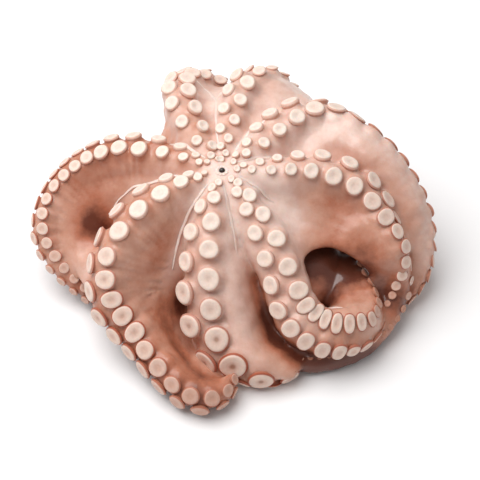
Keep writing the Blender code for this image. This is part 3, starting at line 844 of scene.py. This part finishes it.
def skin_material(settings):
    """Cooked octopus skin: a thin wet membrane over white muscle. Boiling turns it pink, and brown
    where it is thick and folded. The brown value it reads also holds painted shade, which takes it to
    its brown and dark colours in hollows, crevices, under the arms and round the suckers. It is soft
    and moist, so light goes in a few millimetres, its gloss is broad, and pigment cells leave fine dots
    and a faint mottle."""
    material, tree, place = new_material("cooked_octopus_skin")
    brown = node(tree, "Attribute", dict(attribute_name="brown"), "Fac")
    mottle = node(tree, "TexNoise", Vector=place, Scale=170.0, Detail=4.0, Roughness=0.6)
    blotch = node(tree, "TexNoise", Vector=place, Scale=38.0, Detail=2.0)
    scaled = dict(operation="MULTIPLY_ADD")
    shift = node(tree, "Math", scaled, input0=mottle, input1=0.36, input2=-0.18)
    shift = node(tree, "Math", scaled, input0=blotch, input1=0.30, input2=shift)
    amount = node(tree, "Math", dict(operation="ADD"), input0=brown, input1=shift)
    amount = node(tree, "Math", dict(operation="SUBTRACT"), input0=amount, input1=0.15)
    # The brown and dark stops show mostly where the brown value holds painted shade.
    colour = ramp(tree, amount, [(0.0, settings.pale), (0.28, settings.pink), (0.5, settings.rose),
                                 (0.75, settings.brown), (1.0, settings.dark)])
    dots = node(tree, "TexVoronoi", Vector=place, Scale=900.0)
    dot = node(tree, "MapRange", Value=dots, From_Min=0.08, From_Max=0.30, To_Min=0.10, To_Max=0.0)
    colour = node(tree, "Mix", dict(data_type="RGBA"), 2, input0=dot, input6=colour,
                  input7=linear("#8a4a38"))
    fine = node(tree, "TexNoise", Vector=place, Scale=700.0, Detail=3.0)
    bump = node(tree, "Bump", Strength=0.25, Distance=0.0006, Height=fine)
    rough = node(tree, "MapRange", Value=blotch, From_Min=0.35, From_Max=0.65, To_Min=0.34, To_Max=0.5)
    wet = node(tree, "Attribute", dict(attribute_name="wet"), "Fac")
    film = node(tree, "MapRange", Value=wet, To_Min=0.3, To_Max=1.0)
    film_roughness = node(tree, "MapRange", Value=wet, To_Min=0.14, To_Max=0.07)
    return finished(material, Base_Color=colour, Roughness=rough, IOR=1.4, Normal=bump,
                    Subsurface_Weight=0.35, Subsurface_Radius=(1.0, 0.45, 0.28),
                    Subsurface_Scale=0.0035, Coat_Weight=film, Coat_Roughness=film_roughness)


def sucker_material(near_shades, far_shades, tip_shade):
    """Sucker cup: dense white muscle under a thin lining, matt and creamy on its face. The edge of
    the cup and its stalk carry the skin's brown, more of it towards the arm's tip. The shades are
    those of the stalk, the edge, the face, the dimple in it and the pore."""
    material, tree, place = new_material("sucker_muscle")
    ring, far, tip = (node(tree, "Attribute", dict(attribute_name=name), "Fac")
                      for name in ("ring", "far", "tip"))
    near_colour, far_colour = (
        ramp(tree, ring, list(zip(stops, (stalk, edge, edge, face, face, dimple, pore))))
        for stops, (stalk, edge, face, dimple, pore) in (
            ((0.18, 0.3, 0.5, 0.6, 0.78, 0.9, 1.0), near_shades),
            ((0.18, 0.27, 0.49, 0.57, 0.8, 0.9, 1.0), far_shades)))
    mixed = dict(data_type="RGBA")
    colour = node(tree, "Mix", mixed, 2, input0=far, input6=near_colour, input7=far_colour)
    colour = node(tree, "Mix", mixed, 2, input0=tip, input6=colour, input7=linear(tip_shade))
    speckle = node(tree, "TexNoise", Vector=place, Scale=650.0, Detail=3.0)
    shade = node(tree, "MapRange", Value=speckle, From_Min=0.3, From_Max=0.7, To_Min=0.93, To_Max=1.03)
    colour = node(tree, "Mix", dict(data_type="RGBA", blend_type="MULTIPLY"), 2, input0=1.0,
                  input6=colour, input7=shade)
    bump = node(tree, "Bump", Strength=0.25, Distance=0.0004, Height=speckle)
    return finished(material, Base_Color=colour, Roughness=0.5, IOR=1.4, Normal=bump,
                    Subsurface_Weight=0.35, Subsurface_Radius=(1.0, 0.6, 0.42),
                    Subsurface_Scale=0.0025, Coat_Weight=0.06, Coat_Roughness=0.25)


def fold_material():
    """The thin free edge of the web: skin drawn tight over white tissue, paler and wetter."""
    material, tree, place = new_material("tight_web_membrane")
    mottle = node(tree, "TexNoise", Vector=place, Scale=160.0, Detail=3.0)
    return finished(material, Base_Color=ramp(tree, mottle, [(0.3, "#e2c5b9"), (0.7, "#efd9cf")]),
                    Roughness=0.3, IOR=1.4, Subsurface_Weight=0.4,
                    Subsurface_Radius=(1.0, 0.6, 0.42), Subsurface_Scale=0.002, Coat_Weight=0.3,
                    Coat_Roughness=0.12)


def beak_material():
    """Chitin, grown in layers and polished by use: near black, with brown showing at the edge."""
    material, tree, place = new_material("beak_chitin")
    grain = node(tree, "TexNoise", Vector=place, Scale=900.0, Detail=3.0)
    return finished(material, Base_Color=ramp(tree, grain, [(0.35, "#120d0b"), (0.75, "#3a241a")]),
                    Roughness=0.28, IOR=1.55, Coat_Weight=0.2, Coat_Roughness=0.1)


def floor_material(colour):
    """Matt white studio paper: pressed fibres that scatter light evenly, without gloss."""
    return finished(new_material("white_paper")[0], Base_Color=colour, Roughness=0.9)


# ---- settings a user would change ---------------------------------------------------------------

class OctopusFlesh(bpy.types.PropertyGroup):
    skin_step: bpy.props.FloatProperty(
        name="Skin step", description="Size of the cells that the skin is made of", default=0.0015,
        min=0.001, max=0.004, unit="LENGTH")
    web_thickness: bpy.props.FloatProperty(
        name="Web thickness", description="Thickness of the web between two arms", default=0.0046,
        min=0.002, max=0.008, unit="LENGTH")
    pale: bpy.props.StringProperty(
        name="Pale skin", description="Colour of the palest skin, as sRGB hex", default="#e9cec2")
    pink: bpy.props.StringProperty(
        name="Pink skin", description="Colour of the skin on the arms, as sRGB hex", default="#d4aa99")
    rose: bpy.props.StringProperty(
        name="Rose skin", description="Colour of the skin on the arms' sides, as sRGB hex",
        default="#c8957f")
    # The brown and dark colours show mostly where the skin's brown value holds painted shade: hollows,
    # crevices, undersides and round the suckers.
    brown: bpy.props.StringProperty(
        name="Brown skin", description="Colour of the skin in the folds, as sRGB hex", default="#b27055")
    dark: bpy.props.StringProperty(
        name="Dark skin", description="Colour of the darkest skin, as sRGB hex", default="#683626")


class OctopusSuckers(bpy.types.PropertyGroup):
    scale: bpy.props.FloatProperty(
        name="Width factor", description="Width of every sucker against the normal", default=1.0,
        min=0.7, max=1.2, subtype="FACTOR")
    face: bpy.props.StringProperty(
        name="Cup face", description="Colour of a cup's face near the mouth, as sRGB hex",
        default="#ecdacd")
    edge: bpy.props.StringProperty(
        name="Cup edge", description="Colour of a cup's edge towards the tip, as sRGB hex",
        default="#a8593f")


class OctopusStage(bpy.types.PropertyGroup):
    floor: bpy.props.FloatVectorProperty(
        name="Floor", description="Colour of the floor", subtype="COLOR", size=4,
        default=(0.94, 0.93, 0.93, 1))
    key_power: bpy.props.FloatProperty(
        name="Key light", description="Power of the large soft light", default=15.0, min=0.0,
        unit="POWER")
    sky: bpy.props.FloatProperty(
        name="Sky", description="Strength of the even light from all round", default=0.36, min=0.0)


# ---- operators ----------------------------------------------------------------------------------

def all_paths():
    """Every arm's path, by the arm's name."""
    return {name: arm_path(arm) for name, arm in ARMS.items()}


class OCTOPUS_OT_flesh(bpy.types.Operator):
    """Build the skin over the arms, the webs, the crown and the head as one surface"""
    bl_idname = "octopus.flesh"
    bl_label = "Build the flesh"

    def execute(self, context):
        settings = context.scene.octopus_flesh
        paths = all_paths()
        suckers = all_suckers(paths)
        crown_centre = (*MOUTH, CROWN_HEIGHT - CROWN_RADII[2])
        parts = [ball(crown_centre, CROWN_RADII), ball(HEAD_CENTRE, HEAD_RADII)]
        parts += [arm_skin(path) for path in paths.values()]
        parts += [web_skin(web_middle(web, paths), settings.web_thickness / MM) for web in WEBS]
        parts += [turned_copies(places, MOUND, SUCKER_SIDES)[:2] for places in suckers.values()]
        points, edges, quads = fused(parts, settings.skin_step)
        near = nearest_arm(points, paths)
        points = joints_evened(points, edges, near)
        flesh = add_piece("flesh", points, quads.tolist())
        _, normals, _ = read(flesh.data)
        raised, creases = relief(points, near)
        points = points + normals * raised[:, None]
        flesh.data.vertices.foreach_set("co", (points * MM).ravel())
        wet = sum(patch(points, centre, size) for centre, size in WET)
        set_value(flesh.data, "wet", np.clip(wet, 0, 1))
        # The brown value holds painted shade, and the creases' grooves are painted a little browner and
        # their crests paler.
        set_value(flesh.data, "brown", brown_tone_and_painted_shade(points, edges, near, suckers) - 0.06 * creases)
        flesh.data.materials.append(skin_material(settings))
        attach(flesh, "root")
        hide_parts("octopus")
        return {"FINISHED"}


class OCTOPUS_OT_suckers(bpy.types.Operator):
    """Stand two rows of suckers on every arm"""
    bl_idname = "octopus.suckers"
    bl_label = "Build the suckers"

    def execute(self, context):
        settings = context.scene.octopus_suckers
        muscle = sucker_material(("#d9a995", "#e3c3b3", settings.face, "#ead6c9", "#e2cabb"),
                                 ("#b3745d", settings.edge, "#e3c8b9", "#d8b5a4", "#a97c68"), "#b98068")
        for name, places in all_suckers(all_paths()).items():
            along = places["along"]
            places["width"] = places["width"] * settings.scale
            cupped = smooth_step(25, 95, along)[:, None, None]
            profile = np.array(KNOB) * (1 - cupped) + np.array(CUP) * cupped
            vertices, faces, ring = turned_copies(places, profile, SUCKER_SIDES, wobble=0.04)
            vertices[:, 2] = np.maximum(vertices[:, 2], SUCKER_CLEARANCE)
            suckers = add_piece("suckers_" + name, vertices, faces)
            share = ring.reshape(len(along), -1) / (len(CUP) - 1)
            deepest = 0.9 + 0.1 * smooth_step(13.4, 16.5, places["width"])[:, None]
            begins, ends, most = LOOKS[name]["tips"]
            far = np.interp(along, [0, 40, 80, 120], [0, 0.12, 0.6, 1]) * LOOKS[name]["edge"]
            tip = most * smooth_step(begins, ends, along)
            set_value(suckers.data, "ring", np.minimum(share, deepest).ravel())
            set_value(suckers.data, "tip", np.repeat(tip, share.shape[1]))
            set_value(suckers.data, "far", np.repeat(far, share.shape[1]))
            subdivide = suckers.modifiers.new("rounding", "SUBSURF")
            subdivide.levels = 1
            subdivide.render_levels = 1
            suckers.data.materials.append(muscle)
            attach(suckers, "root")
        return {"FINISHED"}


class OCTOPUS_OT_folds(bpy.types.Operator):
    """Draw the webs tight between the arms and pucker the lip round the beak"""
    bl_idname = "octopus.folds"
    bl_label = "Build the folds and the lip"

    def execute(self, context):
        points, _, _ = read(bpy.data.objects["flesh"].data)
        upper = points[points[:, 2] > FOLD_LOWEST]
        parts = []
        for fold in FOLDS:
            line, share = along_line(fold, 1.0)
            path = dropped(line, upper)
            path[:, 2] -= FOLD_SINK
            parts.append(ridge(path, share, FOLD_HALF_WIDTH, FOLD_HALF_HEIGHT))
        curl = arm_path(ARMS["front_right"])
        distance = np.linspace(*WET_EDGE_REACH, 40)
        angle = np.radians(WET_EDGE_ANGLE + WET_EDGE_WAVER * np.sin(distance / 4))
        edge = on_section(curl, distance, angle)
        parts.append(ridge(edge, np.linspace(0, 1, 40), WET_EDGE_SIZE, WET_EDGE_SIZE))
        at_mouth = upper[np.hypot(*(upper[:, :2] - MOUTH).T) < LIP_REACH, 2].max()
        parts.append(lip(at_mouth - LIP_SINK))
        folds = add_piece("folds", *joined(parts))
        folds.data.materials.append(fold_material())
        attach(folds, "root")
        return {"FINISHED"}


class OCTOPUS_OT_beak(bpy.types.Operator):
    """Give the beak its polished horn in place of its plain colour"""
    bl_idname = "octopus.beak"
    bl_label = "Finish the beak"

    def execute(self, context):
        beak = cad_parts["beak"]
        beak.data.materials.clear()
        beak.data.materials.append(beak_material())
        return {"FINISHED"}


class OCTOPUS_OT_stage(bpy.types.Operator):
    """Lay the floor, hang the light and set the camera"""
    bl_idname = "octopus.stage"
    bl_label = "Build the stage"

    def execute(self, context):
        settings = context.scene.octopus_stage
        corners = np.array([(-1, -1, 0), (1, -1, 0), (1, 1, 0), (-1, 1, 0)]) * FLOOR_REACH
        floor = add_piece("floor", corners, [[0, 1, 2, 3]], smooth=False)
        floor.data.materials.append(floor_material(tuple(settings.floor)))

        lamp = bpy.data.lights.new("key", "AREA")
        lamp.shape = "DISK"
        lamp.size = LIGHT_WIDTH * MM
        lamp.energy = settings.key_power
        light = bpy.data.objects.new("key", lamp)
        light.location = Vector(LIGHT_PLACE) * MM
        down = Vector(LIGHT_AIM) * MM - light.location
        light.rotation_euler = down.to_track_quat("-Z", "Y").to_euler()
        context.scene.collection.objects.link(light)

        world = bpy.data.worlds.new("studio")
        world.use_nodes = True
        background = world.node_tree.nodes["Background"]
        background.inputs["Color"].default_value = (1.0, 1.0, 1.0, 1.0)
        background.inputs["Strength"].default_value = settings.sky
        context.scene.world = world
        context.scene.view_settings.view_transform = "Standard"

        target = Vector(CAMERA_AIM) * MM
        lift = math.radians(CAMERA_LIFT)
        back = Vector((0, -math.cos(lift), math.sin(lift)))
        lens = bpy.data.cameras.new("camera")
        lens.lens = FOCAL_LENGTH
        lens.sensor_width = 36.0
        lens.clip_start = 0.01
        camera = bpy.data.objects.new("camera", lens)
        camera.location = target + back * CAMERA_DISTANCE * MM
        camera.rotation_euler = (target - camera.location).to_track_quat("-Z", "Y").to_euler()
        context.scene.collection.objects.link(camera)
        context.scene.camera = camera
        return {"FINISHED"}


class OCTOPUS_PT_panel(bpy.types.Panel):
    """Lists the octopus's pieces and their settings"""
    bl_label = "Octopus"
    bl_idname = "OCTOPUS_PT_panel"
    bl_space_type = "VIEW_3D"
    bl_region_type = "UI"
    bl_category = "Octopus"

    def draw(self, context):
        layout = self.layout
        scene = context.scene
        for settings, operators in (
                (scene.octopus_flesh, ("octopus.flesh", "octopus.folds", "octopus.beak")),
                (scene.octopus_suckers, ("octopus.suckers",)),
                (scene.octopus_stage, ("octopus.stage",))):
            box = layout.box()
            for name in settings.bl_rna.properties.keys():
                if name not in ("rna_type", "name"):
                    box.prop(settings, name)
            for operator in operators:
                box.operator(operator)


CLASSES = (OctopusFlesh, OctopusSuckers, OctopusStage, OCTOPUS_OT_flesh, OCTOPUS_OT_suckers,
           OCTOPUS_OT_folds, OCTOPUS_OT_beak, OCTOPUS_OT_stage, OCTOPUS_PT_panel)


def register():
    for made in CLASSES:
        bpy.utils.register_class(made)
    bpy.types.Scene.octopus_flesh = bpy.props.PointerProperty(type=OctopusFlesh)
    bpy.types.Scene.octopus_suckers = bpy.props.PointerProperty(type=OctopusSuckers)
    bpy.types.Scene.octopus_stage = bpy.props.PointerProperty(type=OctopusStage)


def unregister():
    del bpy.types.Scene.octopus_stage
    del bpy.types.Scene.octopus_suckers
    del bpy.types.Scene.octopus_flesh
    for made in reversed(CLASSES):
        bpy.utils.unregister_class(made)


def main():
    register()
    bpy.ops.octopus.flesh()
    bpy.ops.octopus.suckers()
    bpy.ops.octopus.folds()
    bpy.ops.octopus.beak()
    bpy.ops.octopus.stage()


if __name__ == "__main__":
    main()
